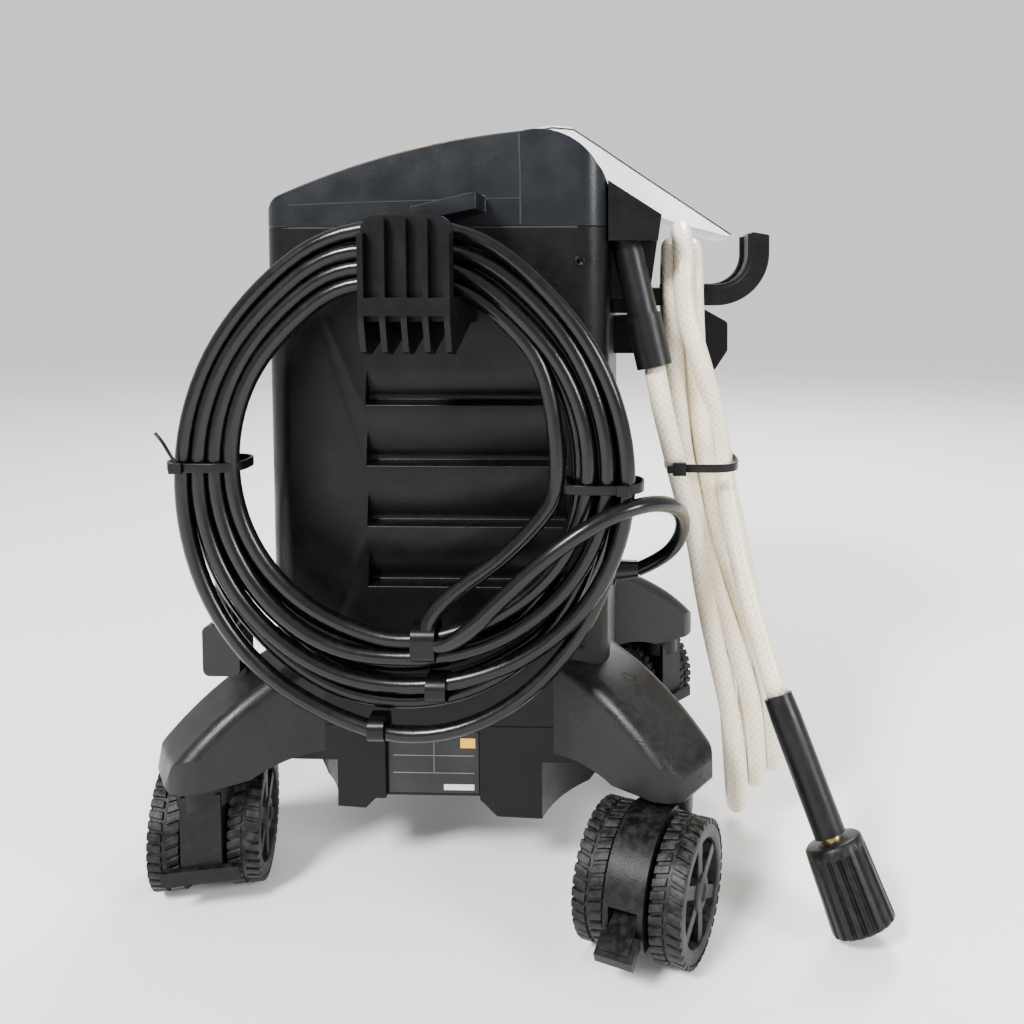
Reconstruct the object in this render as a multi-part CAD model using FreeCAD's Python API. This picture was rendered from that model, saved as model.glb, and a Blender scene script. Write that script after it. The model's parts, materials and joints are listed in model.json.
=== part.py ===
import FreeCAD, Part
import math
import os

os.makedirs("parts", exist_ok=True)

V = FreeCAD.Vector

# A small electric pressure washer on four twin-wheel casters. Millimetres, +Z up. The rear face
# looks along -Y, and X runs to the right as seen from the rear. The shape is drawn about the
# middle of its square body, and then moved so that the origin is under the middle of the whole.
ORIGIN = V(11.77, -5.28, 0)

# Body
half_x = 100.0            # half the body's width
half_y = 100.0            # half the body's depth
corner_r = 16.0           # upright corners
wall = 2.6
base_low = 45.0           # lowest point of the base pan
base_high = 100.0         # base pan meets the housings
head_low = 392.0          # housings meet the head

# Cord hook on the rear
plate_x0, plate_x1 = -21.0, 25.0
plate_z0, plate_z1 = 341.0, 394.0
plate_y = -166.0          # inner face of the upright plate

# Hose hook on the right
hook_y0, hook_y1 = -45.0, 10.0
hook_top = 356.0          # resting face of the arm

# Casters
wheel_r = 36.0
wheel_w = 19.0
fork_w = 22.0             # housing between the two wheels
trail = 26.0
pivot_x = 133.0
rear_pivot_y = -115.0
front_pivot_y = 112.0
fender_top = 77.0
leg_low = 79.0            # underside of a leg's boss
stem_r = 5.5
axle_r = 4.0
swing_r = 74.0            # room round a caster's pivot for its wheels to turn in
fit = 0.05                # radial running clearance
# name: pivot x, pivot y, heading of the axle from +X in degrees, side that the wheels trail to
CASTERS = {
    "rear_left": (-pivot_x, rear_pivot_y, 12.0, 1.0),
    "rear_right": (pivot_x, rear_pivot_y, -22.0, -1.0),
    "front_left": (-pivot_x, front_pivot_y, -20.0, 1.0),
    "front_right": (pivot_x, front_pivot_y, 50.0, 1.0),
}

# Power cord
cord_r = 4.4
coil_y0, coil_y1 = -148.0, -110.0
coil_centre = V(-7.4, 0, 252.0)
coil_half_x, coil_half_z = 127.0, 142.0
hole_centre = V(-9.9, 0, 264.0)
hole_half_x, hole_half_z = 87.0, 91.0

# High-pressure hose
hose_r = 6.4
sleeve_r = 9.0

ALL_PARTS = {}


def keep(name, shape):
    """Name a finished piece."""
    ALL_PARTS[name] = shape.removeSplitter() if shape.ShapeType != "Compound" else shape


def box(x0, x1, y0, y1, z0, z1):
    return Part.makeBox(x1 - x0, y1 - y0, z1 - z0, V(x0, y0, z0))


def rod(start, end, r, r_end=None):
    """A round bar, or a cone, from one point to another."""
    axis = end - start
    if r_end is None or abs(r_end - r) < 1e-6:
        return Part.makeCylinder(r, axis.Length, start, axis)
    return Part.makeCone(r, r_end, axis.Length, start, axis)


def outline(path):
    """A closed wire. A path entry is a point, or a pair: a point on an arc, and the arc's end."""
    first = path[0]
    here = first
    edges = []
    for step in path[1:] + [first]:
        if isinstance(step, tuple):
            middle, end = step
            edges.append(Part.Arc(here, middle, end).toShape())
        else:
            end = step
            if (end - here).Length < 1e-6:
                continue
            edges.append(Part.makeLine(here, end))
        here = end
    return Part.Wire(edges)


def rear_view_prism(path, y0, y1):
    """Extrude an outline drawn in X and Z from y0 to y1."""
    flat = [tuple(V(p[0], y0, p[1]) for p in s) if isinstance(s[0], tuple) else V(s[0], y0, s[1])
            for s in path]
    return Part.Face(outline(flat)).extrude(V(0, y1 - y0, 0))


def side_view_prism(path, x0, x1):
    """Extrude an outline drawn in Y and Z from x0 to x1."""
    flat = [tuple(V(x0, p[0], p[1]) for p in s) if isinstance(s[0], tuple) else V(x0, s[0], s[1])
            for s in path]
    return Part.Face(outline(flat)).extrude(V(x1 - x0, 0, 0))


def upright_block(hx, hy, r, z0, z1, y_middle=0.0):
    """A block with rounded upright corners."""
    solid = box(-hx, hx, y_middle - hy, y_middle + hy, z0, z1)
    upright = [e for e in solid.Edges if abs(e.tangentAt(e.FirstParameter).z) > 0.99]
    return solid.makeFillet(r, upright)


def long_edges(solid, direction, keep_if=None):
    """Straight edges along a direction, for filleting."""
    found = []
    for e in solid.Edges:
        if e.Curve.TypeId == "Part::GeomLine" and abs(e.tangentAt(e.FirstParameter).dot(direction)) > 0.99:
            if keep_if is None or keep_if(e.CenterOfMass):
                found.append(e)
    return found


def route_tube(name, points, r):
    """A tube along straight runs that tangent arcs join, each arc as large as its runs allow."""
    points = [V(*p) for p in points]
    edges = []
    here = points[0]
    radii = []
    for before, corner, after in zip(points, points[1:], points[2:]):
        back = before - corner
        ahead = after - corner
        setback = 0.45 * min(back.Length, ahead.Length)
        turn = math.pi - back.getAngle(ahead)
        radius = setback / math.tan(turn / 2)
        radii.append(radius)
        start = corner + V(back).normalize() * setback
        end = corner + V(ahead).normalize() * setback
        inward = (V(back).normalize() + V(ahead).normalize()).normalize()
        middle = corner + inward * (radius / math.cos(turn / 2) - radius)
        edges.append(Part.makeLine(here, start))
        edges.append(Part.Arc(start, middle, end).toShape())
        here = end
    edges.append(Part.makeLine(here, points[-1]))
    path = Part.Wire(edges)
    ring = Part.Wire([Part.makeCircle(r, points[0], points[1] - points[0])])
    solid = path.makePipeShell([ring], True, False)
    ratio = solid.Volume / (math.pi * r * r * path.Length)
    print(name, "length", round(path.Length), "volume ratio", round(ratio, 4),
          "radii", [round(x) for x in radii])
    return solid


def body_block(z0, z1):
    return upright_block(half_x, half_y, corner_r, z0, z1)


# ---------------------------------------------------------------- body

def louvre(x0, x1, z_low, z_high, face_y, inward):
    """The pocket of one louvre: flush at its top, deepest over the ledge at its foot."""
    deep = 9.0
    path = [(face_y - inward, z_low), (face_y + inward * deep, z_low + 2),
            (face_y + inward * deep, z_low + 6), (face_y, z_high), (face_y - inward, z_high)]
    return side_view_prism(path, x0, x1)


louvre_x0, louvre_x1 = -40.0, 76.0
louvre_height = 21.0
louvre_pitch = 35.5
louvre_first = 183.0
LOUVRES = [louvre_first + i * louvre_pitch for i in range(4)]


def housing(side):
    """One half of the upright body, rear for side -1 and front for side +1, with its louvres."""
    outer = body_block(base_high, head_low)
    inner = upright_block(half_x - wall, half_y - wall, corner_r - wall, base_high - 1, head_low + 1)
    half = box(-150, 150, min(0, side * 150), max(0, side * 150), 0, 500)
    shell = outer.cut(inner).common(half)
    back = side * half_y
    inside = side * (half_y - 12)
    x0, x1 = (louvre_x0, louvre_x1) if side < 0 else (-58.0, 58.0)
    for z in LOUVRES:
        y0, y1 = sorted((inside, back - side * wall))
        shell = shell.fuse(box(x0 - 3, x1 + 3, y0, y1, z - 3, z + louvre_height))
    for z in LOUVRES:
        shell = shell.cut(louvre(x0, x1, z, z + louvre_height, back, -side))
    return shell


def rear_housing():
    shell = housing(-1)
    gland_hole = rod(V(half_x - 10, gland_y, gland_z), V(half_x + 1, gland_y, gland_z), 6.0)
    return shell.cut(gland_hole)


def front_housing():
    shell = housing(1)
    knob_hole = rod(V(0, half_y - 20, knob_z), V(0, half_y + 5, knob_z), knob_stem_r + 0.3)
    inlet_hole = rod(V(inlet_x, half_y - 20, inlet_z), V(inlet_x, half_y + 5, inlet_z), inlet_r + 0.5)
    return shell.cut(knob_hole).cut(inlet_hole)


def base_pan():
    """The tray under the body, with lobes at its corners and a flat bay for the rating plate."""
    path = [(-half_x, base_high), (-half_x, 88), (-92, 84), (-84, 58), (-78, 52), (-44, 50), (-38, 56),
            (24, 56), (34, 46), (60, base_low), (86, base_low + 1), (94, 54), (half_x, 70),
            (half_x, base_high)]
    tray = rear_view_prism(path, -half_y, half_y).common(body_block(base_low - 1, base_high))
    bay = box(-32, 24, -half_y - 1, -half_y + 4, base_low, base_high - 3)
    hollow_path = [(-half_x + 4, base_high + 1), (-half_x + 4, 92), (-80, 62), (-46, 60), (30, 60),
                   (40, 52), (80, 52), (half_x - 4, 74), (half_x - 4, base_high + 1)]
    hollow = rear_view_prism(hollow_path, -half_y + 8, half_y - 8)
    hollow = hollow.common(upright_block(half_x - 4, half_y - 8, corner_r - 4, 0, base_high + 1))
    for px, py, _, _ in CASTERS.values():
        tray = tray.cut(Part.makeCylinder(swing_r, leg_low, V(px, py, 0)))
        hollow = hollow.cut(Part.makeCylinder(swing_r + 4, leg_low + 4, V(px, py, 0)))
    inlet_hole = rod(V(inlet_x, half_y - 20, inlet_z), V(inlet_x, half_y + 5, inlet_z), inlet_r + 0.5)
    return tray.cut(bay).cut(hollow).cut(inlet_hole)


HEAD_PATH = [(-half_x, head_low), (-half_x, 396), ((-97, 405), (-88, 411)),
             ((-20, 434), (51, 446)), ((80, 442), (94, 428)), ((98.5, 421), (half_x, 412)),
             (half_x, head_low)]
HEAD_HOLLOW = [(-half_x + 3, head_low - 1), (-half_x + 3, 396), ((-94, 402), (-86, 407.5)),
               ((-20, 430.5), (50, 442.5)), ((78, 439), (91, 426)), ((95.5, 419), (half_x - 3, 411)),
               (half_x - 3, head_low - 1)]


def head_outer():
    solid = rear_view_prism(HEAD_PATH, -half_y, half_y)
    return solid.common(body_block(head_low - 1, 470))


def top_cover():
    """The head: a cap over the housings whose top rises in an uneven arch."""
    solid = head_outer()
    hollow = rear_view_prism(HEAD_HOLLOW, -half_y + 3, half_y - 3)
    hollow = hollow.common(upright_block(half_x - 3, half_y - 3, corner_r - 3, head_low - 2, 470))
    return solid.cut(hollow).fuse(cord_retainer())


wing_tip = (180.0, 390.0)
panel_y0, panel_y1 = -5.0, 96.0


def top_panel():
    """The pale deck on the head. It follows the arch and overhangs the right side as a wing."""
    path = [(-86, 405), (-86, 419), ((-20, 447), (40, 459)), ((58, 463.5), (74, 462)), (108, 438.5),
            wing_tip, (176, 390), (136, 401), (101, 420), (99, 412)]
    slab = rear_view_prism(path, panel_y0, panel_y1)
    return slab.cut(head_outer())


def side_bracket():
    """The pod under the wing that carries the hose hook and the outlet sleeve."""
    across = rear_view_prism([(half_x, 350), (124, 350), (131, 399), (half_x, 419)], -92, 22)
    along = side_view_prism([(-90, 384), (-58, 384), (-58, 350), (20, 350), (20, 430), (-90, 430)],
                            half_x, 140)
    return across.common(along).cut(top_panel())


# ---------------------------------------------------------------- hooks

def cord_hook():
    """A ribbed upright plate on an arm that leaves the rear face, with fins below the arm."""
    arm_low, arm_high = 344.0, 353.0
    plate = box(plate_x0, plate_x1, plate_y - 4, plate_y, plate_z0, plate_z1)
    top_corners = long_edges(plate, V(0, 1, 0), lambda c: c.z > plate_z1 - 1)
    solid = plate.makeFillet(8, top_corners)
    rib_count = 5
    rib_t = 3.0
    rib_gap = (plate_x1 - plate_x0 - rib_t) / (rib_count - 1)
    for i in range(rib_count):
        x = plate_x0 + i * rib_gap
        top = plate_z1 - (9 if i in (0, rib_count - 1) else 2)
        solid = solid.fuse(box(x, x + rib_t, plate_y - 10, plate_y - 3, plate_z0, top))
        fin = side_view_prism([(plate_y - 10, plate_z0), (plate_y - 6, 326), (plate_y + 4, 324),
                               (-half_y - 20, 338), (-half_y, 338), (-half_y, arm_low + 1),
                               (plate_y - 10, arm_low + 1)], x, x + rib_t)
        solid = solid.fuse(fin)
    solid = solid.fuse(box(plate_x0, plate_x1, plate_y - 10, -half_y, arm_low, arm_high))
    return solid


def cord_retainer():
    """The small ledge on the head, over the hook, that keeps the coil from jumping off."""
    path = [(-7, 392), (30, 400), (30, 409), (27, 409), (-7, 401)]
    return rear_view_prism(path, -128, -half_y)


def hook_path(thick):
    """The J of the hose hook as seen from the rear, drawn outward from its resting face."""
    bend = 22.0
    x_bend, x_tip, z_tip = 166.0, 188.0, 391.0
    c = math.sqrt(0.5)
    z_mid = hook_top + bend
    return [(120, hook_top), (x_bend, hook_top),
            ((x_bend + bend * c, z_mid - bend * c), (x_tip, z_mid)), (x_tip, z_tip),
            (x_tip + thick, z_tip - 2), (x_tip + thick, z_mid),
            ((x_bend + (bend + thick) * c, z_mid - (bend + thick) * c), (x_bend, hook_top - thick)),
            (120, hook_top - thick)]


def gun_hook():
    """The J-shaped channel on the right side that the hose hank hangs on."""
    rib_t = 6.0
    solid = rear_view_prism(hook_path(4.5), hook_y0, hook_y1)
    for y in (hook_y0, hook_y1 - rib_t):
        solid = solid.fuse(rear_view_prism(hook_path(11.0), y, y + rib_t))
    root = box(half_x, 128, hook_y0 + 8, hook_y1 - 8, 340, 350)
    return solid.fuse(root).cut(side_bracket())


def lower_bracket():
    path = [(half_x, 336), (164, 340), (180, 331), (180, 311), (171, 297), (162, 297), (150, 309),
            (half_x, 309)]
    solid = rear_view_prism(path, 30, 62)
    return solid.makeFillet(3, long_edges(solid, V(0, 1, 0), lambda c: c.x > 155))


# ---------------------------------------------------------------- legs and casters

def leg(name):
    """A broad arm from a body corner, curving out and down to the boss that takes a caster."""
    px, py, _, _ = CASTERS[name]
    side_x = math.copysign(1, px)
    side_y = math.copysign(1, py)
    root = V(side_x * 74, side_y * 74, 0)
    reach = V(px, py, 0) - root
    length = reach.Length
    path = [(0, 146), ((length * 0.62, 130), (length + 20, 94)), (length + 23, leg_low + 3),
            (length + 21, leg_low), (length - 20, leg_low), ((length * 0.5, 84), (0, 82))]
    half_w = 25.0
    flat = [tuple(V(p[0], -half_w, p[1]) for p in s) if isinstance(s[0], tuple)
            else V(s[0], -half_w, s[1]) for s in path]
    arm = Part.Face(outline(flat)).extrude(V(0, 2 * half_w, 0))
    top_edges = [e for e in arm.Edges if abs(abs(e.CenterOfMass.y) - half_w) < 0.1
                 and e.CenterOfMass.z > 95 and e.BoundBox.XLength > 20]
    arm = arm.makeFillet(9, top_edges)
    arm.rotate(V(0, 0, 0), V(0, 0, 1), math.degrees(math.atan2(reach.y, reach.x)))
    arm.translate(root)
    tip_round = Part.makeCylinder(26, 100, V(px, py, 70))
    bar = Part.makeBox(length, 2 * half_w, 120, V(0, -half_w, 60))
    bar.rotate(V(0, 0, 0), V(0, 0, 1), math.degrees(math.atan2(reach.y, reach.x)))
    bar.translate(root)
    arm = arm.common(bar.fuse(tip_round))
    arm = arm.cut(body_block(0, 500))
    stem_hole = Part.makeCylinder(stem_r + fit, 60, V(px, py, leg_low - 1))
    stem_hole = stem_hole.common(box(-300, 300, -300, 300, 0, leg_low + 10))
    return arm.cut(stem_hole)


def place(shape, name):
    """Turn a piece drawn at the origin, trailing along +Y, to a caster's rest heading."""
    px, py, heading, side = CASTERS[name]
    shape = shape.copy()
    if side < 0:
        shape.rotate(V(0, 0, 0), V(0, 0, 1), 180)
    shape.rotate(V(0, 0, 0), V(0, 0, 1), heading)
    shape.translate(V(px, py, 0))
    return shape


pedal_pivot = (trail + 27.0, 34.0)      # Y and Z of the brake pedal's pivot
pedal_pin_r = 2.5


def caster_housing():
    """The fender and cheek between the wheels, with the swivel base on top."""
    half = fork_w / 2
    fender_r = wheel_r + 2.5
    disc = Part.makeCylinder(fender_r, 2 * half, V(-half, trail, wheel_r), V(1, 0, 0))
    lower_cut = box(-half - 1, half + 1, trail - 60, trail + 60, -20, wheel_r - 16)
    disc = disc.cut(lower_cut)
    hollow = Part.makeCylinder(fender_r - 5, fork_w - 6, V(-half + 3, trail, wheel_r), V(1, 0, 0))
    hollow = hollow.common(box(-half, half, trail + 8, trail + 60, 0, wheel_r + 24))
    base = Part.makeCylinder(15, 14, V(0, 0, fender_top - 14))
    base = base.cut(Part.makeCylinder(wheel_r + 0.8, 100, V(-50, trail, wheel_r), V(1, 0, 0)))
    neck = box(-half, half, -13, 14, wheel_r - 14, fender_top - 6)
    guard_y = trail - wheel_r - 6
    guard = box(-half - 10, half + 10, guard_y, guard_y + 4, wheel_r - 14, wheel_r - 6)
    pedal_slot = box(-half + 3, half - 3, trail + 22, trail + 45, 10, 42)
    pedal_y, pedal_z = pedal_pivot
    pin_hole = Part.makeCylinder(pedal_pin_r + fit, 2 * half - 1, V(-half + 0.5, pedal_y, pedal_z), V(1, 0, 0))
    disc = disc.cut(hollow).cut(pedal_slot).cut(pin_hole)
    solid = disc.fuse(base).fuse(neck).fuse(guard)
    solid = solid.cut(Part.makeCylinder(axle_r, 100, V(-50, trail, wheel_r), V(1, 0, 0)))
    solid = solid.cut(Part.makeCylinder(stem_r, 14, V(0, 0, fender_top - 12)))
    return solid


def caster_stem():
    """The swivel pin that the leg's boss turns on."""
    return Part.makeCylinder(stem_r, leg_low + 8 - fender_top + 12, V(0, 0, fender_top - 12))


def caster_axle():
    half = fork_w / 2 + wheel_w - 2
    return Part.makeCylinder(axle_r, 2 * half, V(-half, trail, wheel_r), V(1, 0, 0))


def caster_wheel(side):
    """One wheel: a disc with a rounded tread and a hub dished on its outer face."""
    inner = side * (fork_w / 2 + 1)
    outer = side * (fork_w / 2 + 1 + wheel_w)
    x0, x1 = sorted((inner, outer))
    wheel = Part.makeCylinder(wheel_r, wheel_w, V(x0, trail, wheel_r), V(1, 0, 0))
    wheel = wheel.makeFillet(4, [e for e in wheel.Edges if e.Curve.TypeId == "Part::GeomCircle"])
    dish_x = outer - side * 5
    d0, d1 = sorted((dish_x, outer + side))
    dish = Part.makeCylinder(wheel_r - 10, d1 - d0, V(d0, trail, wheel_r), V(1, 0, 0))
    hub = Part.makeCylinder(10, d1 - d0 - 2, V(min(dish_x, outer - side * 1), trail, wheel_r), V(1, 0, 0))
    hole = Part.makeCylinder(axle_r + fit, 100, V(-50, trail, wheel_r), V(1, 0, 0))
    return wheel.cut(dish.cut(hub)).cut(hole)




def brake_pedal():
    """A tongue behind the fender that is pressed down with the foot to lock the wheels."""
    y, z = pedal_pivot
    half = fork_w / 2 - 3.6
    path = [(y - 4, z + 3), (y + 4, z + 3), (y + 22, z - 7), (y + 20, z - 12), (y + 2, z - 5), (y - 4, z - 4)]
    tongue = side_view_prism(path, -half, half)
    toe = side_view_prism([(y + 13, z - 3), (y + 24, z - 9), (y + 22, z - 14), (y + 12, z - 8)], -half - 3, half + 3)
    pin_half = fork_w / 2 - 0.7
    pin = Part.makeCylinder(pedal_pin_r, 2 * pin_half, V(-pin_half, y, z), V(1, 0, 0))
    return tongue.fuse(toe).fuse(pin)


# ---------------------------------------------------------------- power cord

gland_y, gland_z = -60.0, 181.0
LEAD_ROUTE = [(117, -60, 182), (133, -64, 190), (143, -80, 208), (143, -102, 226), (136, -126, 239),
              (120, -146, 244), (98, -157, 238), (72, -161, 221), (48, -160, 198), (30, -157, 179),
              (14, -149, 167)]


def cord_gland():
    """The ribbed strain relief that the power cord leaves the housing through."""
    inner = rod(V(half_x - 6, gland_y, gland_z), V(half_x, gland_y, gland_z), 5.95)
    flange = rod(V(half_x, gland_y, gland_z), V(half_x + 3, gland_y, gland_z), 9.0)
    nose = rod(V(half_x + 3, gland_y, gland_z), V(117, gland_y, gland_z + 1), 7.0, 5.4)
    return inner.fuse(flange).fuse(nose)


def ellipse_slab(centre, half_a, half_b, y0, y1):
    curve = Part.Ellipse(V(centre.x, y0, centre.z), half_b, half_a)
    edge = curve.toShape()
    edge.rotate(V(centre.x, y0, centre.z), V(1, 0, 0), 90)
    edge.rotate(V(centre.x, y0, centre.z), V(0, 1, 0), 90)
    return Part.Face(Part.Wire([edge])).extrude(V(0, y1 - y0, 0))


def cord_coil():
    """The outer shape of the coiled power cord: an oval ring, heavier at its foot."""
    outer = ellipse_slab(coil_centre, coil_half_x, coil_half_z, coil_y0, coil_y1)
    outer = outer.makeFillet(12, [e for e in outer.Edges if e.BoundBox.XLength > 50])
    inner = ellipse_slab(hole_centre, hole_half_x, hole_half_z, coil_y0 - 1, coil_y1 + 1)
    return outer.cut(inner)


def band(x0, x1, y0, y1, z0, z1, thick):
    """A flat strap round a bundle, drawn as a rectangular loop that is open along Z."""
    outside = box(x0 - thick, x1 + thick, y0 - thick, y1 + thick, z0, z1)
    return outside.cut(box(x0, x1, y0, y1, z0 - 1, z1 + 1))


def cable_ties():
    """Two ties and a tape wrap round the cord's coil, and the tie round the hose's hank."""
    left = band(-136.0, -95.0, coil_y0 - 0.6, coil_y1 + 0.6, 260, 265, 1.4)
    right = band(74.3, 121.5, coil_y0 - 0.6, coil_y1 + 0.6, 249, 254, 1.4)
    foot = box(-8, 4, coil_y0 - 2.2, coil_y1 + 2.2, 107.4, 177.6)
    foot = foot.cut(box(-9, 5, coil_y0 - 0.6, coil_y1 + 0.6, 109, 176))
    return Part.makeCompound([left, right, foot, hose_tie()])


def power_plug():
    """A right-angle mains plug that hangs behind the coil's lower left, its pins to the front."""
    body = box(-138, -116, -104, -84, 130, 160)
    body = body.makeFillet(4, long_edges(body, V(0, 1, 0)))
    pins = [box(-134, -132.5, -84, -67, 143, 149), box(-121.5, -120, -84, -67, 143, 149),
            rod(V(-127, -84, 136), V(-127, -65, 136), 2.4)]
    neck = rod(V(-127, -97, 159), V(-127, -97, 184), 7.5, 5.2)
    solid = body.fuse(neck)
    for pin in pins:
        solid = solid.fuse(pin)
    return solid


PLUG_ROUTE = [(-127, -97, 184), (-125, -99, 207), (-119, -107, 228), (-116, -120, 246)]

# ---------------------------------------------------------------- hose

SLEEVE_TOP = V(109.6, -75, 386)
SLEEVE_LOW = V(127, -79, 310)
HOSE_LEAD = [(127, -79, 310), (131, -78, 287), (136, -72, 266), (141, -64, 245), (146.5, -58, 223),
             (153, -50, 202)]
HOSE_TAIL = [(168, -42, 268), (171, -48, 240), (175, -58, 212), (180, -70, 184), (188, -84, 154),
             (198, -98, 120)]
BOOT_TOP = V(198, -98, 120)
BOOT_LOW = V(224, -122, 52)


def outlet_sleeve():
    """The black protective tube and collar on the hose where it leaves the machine."""
    axis = SLEEVE_LOW - SLEEVE_TOP
    tube = rod(SLEEVE_TOP, SLEEVE_LOW, sleeve_r)
    tube = tube.common(box(0, 300, -200, 200, 0, 384))
    return tube.fuse(rod(SLEEVE_TOP + axis * 0.6, SLEEVE_LOW, sleeve_r + 1.6))


def hose_hank():
    """The outer shape of the folded hose: loops over the hook's arm, gathered at the tie."""
    across = rear_view_prism([(134, 398), (157, 400), (165, 360), (178, 252), (208, 70), (211, 22),
                              (202, 8), (181, 8), (174, 30), (155, 130), (135, 248), (133, 340),
                              (132, 385)], -130, 80)
    along = side_view_prism([(-62, 360), ((-44, 391), (-24, 396.5)), ((10, 382), (27, 352)), (4, 300),
                             (-22, 258), (-22, 242), (-6, 120), (8, 45), ((-22.5, 9), (-53, 45)),
                             (-56, 110), (-57, 225), (-54, 258), (-58, 300)], 110, 220)
    upper_window = side_view_prism([(hook_y0 - 1.2, 340), (hook_y0 - 1.2, 358),
                                    ((-17.5, 380), (hook_y1 + 1.2, 352)), (hook_y1 + 1.2, 340),
                                    (-14, 300), (-36, 272), (-42, 300)], 110, 220)
    lower_window = side_view_prism([(-39, 50), ((-22.5, 26), (-6, 50)), (-20, 130), (-37, 190),
                                    (-42, 110)], 110, 220)
    return across.common(along).cut(upper_window).cut(lower_window)


def hose_tie():
    solid = band(132, 179.6, -74.8, -20.5, 245, 250, 1.4)
    return solid.fuse(box(138, 146, -80, -74, 243.5, 251.5))


def hose_boot():
    """The shrink sleeve that stiffens the hose's free end."""
    axis = BOOT_LOW - BOOT_TOP
    boot = rod(BOOT_TOP, BOOT_TOP + axis * 0.16, hose_r + 2.0, hose_r + 2.6)
    boot = boot.fuse(rod(BOOT_TOP + axis * 0.16, BOOT_LOW, hose_r + 2.6))
    return boot


def along_boot(t):
    """A point on the free end's axis, t millimetres past the boot."""
    axis = BOOT_LOW - BOOT_TOP
    return BOOT_LOW + axis.normalize() * t


nut_r = 18.0
nut_length = 45.0
nut_bore_r = 11.0


def hose_stem():
    """The metal nipple between the boot and the swivel nut, with the collar that holds the nut."""
    neck = rod(along_boot(0), along_boot(9), 6.0)
    collar = rod(along_boot(9), along_boot(14), 9.5)
    nose = rod(along_boot(14), along_boot(34), 5.0)
    bore = rod(along_boot(4), along_boot(36), 2.6)
    return neck.fuse(collar).fuse(nose).cut(bore)


def hose_swivel_nut():
    """The fluted hand nut, free to turn on the stem, with its M22 bore."""
    nut = rod(along_boot(2.5), along_boot(2.5 + nut_length), nut_r - 1.6, nut_r)
    flutes = []
    axis = along_boot(1) - along_boot(0)
    side = axis.cross(V(0, 1, 0)).normalize()
    flute_count = 16
    for i in range(flute_count):
        turn = FreeCAD.Rotation(axis, i * 360.0 / flute_count)
        out = turn.multVec(side)
        flutes.append(rod(along_boot(1) + out * (nut_r + 0.2), along_boot(50) + out * (nut_r + 1.6), 1.9))
    for flute in flutes:
        nut = nut.cut(flute)
    nut = nut.cut(rod(along_boot(0), along_boot(8.8), 6.0 + fit))
    nut = nut.cut(rod(along_boot(8.8), along_boot(14.3), 9.5 + fit))
    return nut.cut(rod(along_boot(14.3), along_boot(60), nut_bore_r))


# ---------------------------------------------------------------- drive and pump

motor_axis = V(0, 8, 0)
motor_r = 54.0
motor_low, motor_high = 212.0, 330.0
shaft_r = 6.0
bearing_r = 14.0
fan_low = 338.0
knob_z = 345.0
knob_stem_r = 4.0
inlet_x, inlet_z, inlet_r = -38.0, 92.0, 12.0
pump_r = 40.0
piston_ring = 22.0
tube_x, tube_y = 78.0, -75.0


def upright_cylinder(r, z0, z1, at=None):
    centre = motor_axis if at is None else at
    return Part.makeCylinder(r, z1 - z0, V(centre.x, centre.y, z0))


def motor():
    """The motor's can, hollow for its rotor, with end plates that seat the bearings."""
    can = upright_cylinder(motor_r, motor_low, motor_high)
    can = can.cut(upright_cylinder(motor_r - 14, motor_low + 8, motor_high - 8))
    for z0, z1 in ((motor_low - 1, motor_low + 9), (motor_high - 9, motor_high + 1)):
        can = can.cut(upright_cylinder(bearing_r, z0, z1))
    return can


def motor_bearings():
    rings = []
    for z0 in (motor_low, motor_high - 8):
        ring = upright_cylinder(bearing_r, z0, z0 + 8).cut(upright_cylinder(shaft_r + fit, z0 - 1, z0 + 9))
        rings.append(ring)
    return Part.makeCompound(rings)


def motor_shaft():
    """The shaft with the rotor pack on it."""
    shaft = upright_cylinder(shaft_r, 196, fan_low + 14)
    return shaft.fuse(upright_cylinder(motor_r - 15, motor_low + 14, motor_high - 14))


def cooling_fan():
    hub = upright_cylinder(14, fan_low, fan_low + 12)
    disc = upright_cylinder(50, fan_low, fan_low + 2.5)
    fan = hub.fuse(disc)
    blade = box(12, 48, -1.2, 1.2, fan_low + 2, fan_low + 12)
    blade_count = 10
    for i in range(blade_count):
        one = blade.copy()
        one.rotate(V(0, 0, 0), V(0, 0, 1), i * 360.0 / blade_count)
        one.translate(motor_axis)
        fan = fan.fuse(one)
    return fan.cut(upright_cylinder(shaft_r, fan_low - 1, fan_low + 13))


def swash_plate():
    """The slanted disc under the motor that drives the pistons as it turns."""
    disc = upright_cylinder(32, 178, 206)
    slope = 5.0
    low = side_view_prism([(-60, 170), (70, 170), (70, 187 + slope), (-60, 187 - slope)], -60, 60)
    return disc.cut(low).cut(upright_cylinder(shaft_r, 196, 210)).cut(
        upright_cylinder(40, 196, 210).cut(upright_cylinder(14, 195, 211)))


def piston_places():
    for i in range(3):
        turn = math.radians(90 + 120 * i)
        yield motor_axis + V(piston_ring * math.cos(turn), piston_ring * math.sin(turn), 0)


def pump_body():
    body = upright_cylinder(pump_r, 114, 166)
    for at in piston_places():
        body = body.cut(upright_cylinder(6.0 + fit, 122, 167, at))
    return body


def pump_pistons():
    return Part.makeCompound([upright_cylinder(6.0, 130, 182, at) for at in piston_places()])


def manifold_head():
    """The pump's head, with an arm to the outlet tube and a port to the water inlet."""
    head = upright_cylinder(pump_r, 84, 114)
    head = head.fuse(box(20, tube_x + 10, tube_y - 10, -10, 84, 108))
    head = head.fuse(box(inlet_x - 12, inlet_x + 12, 10, 70, 84, 104))
    return head.cut(rod(V(tube_x, tube_y, 96), V(tube_x, tube_y, 120), 6.0))


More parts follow.
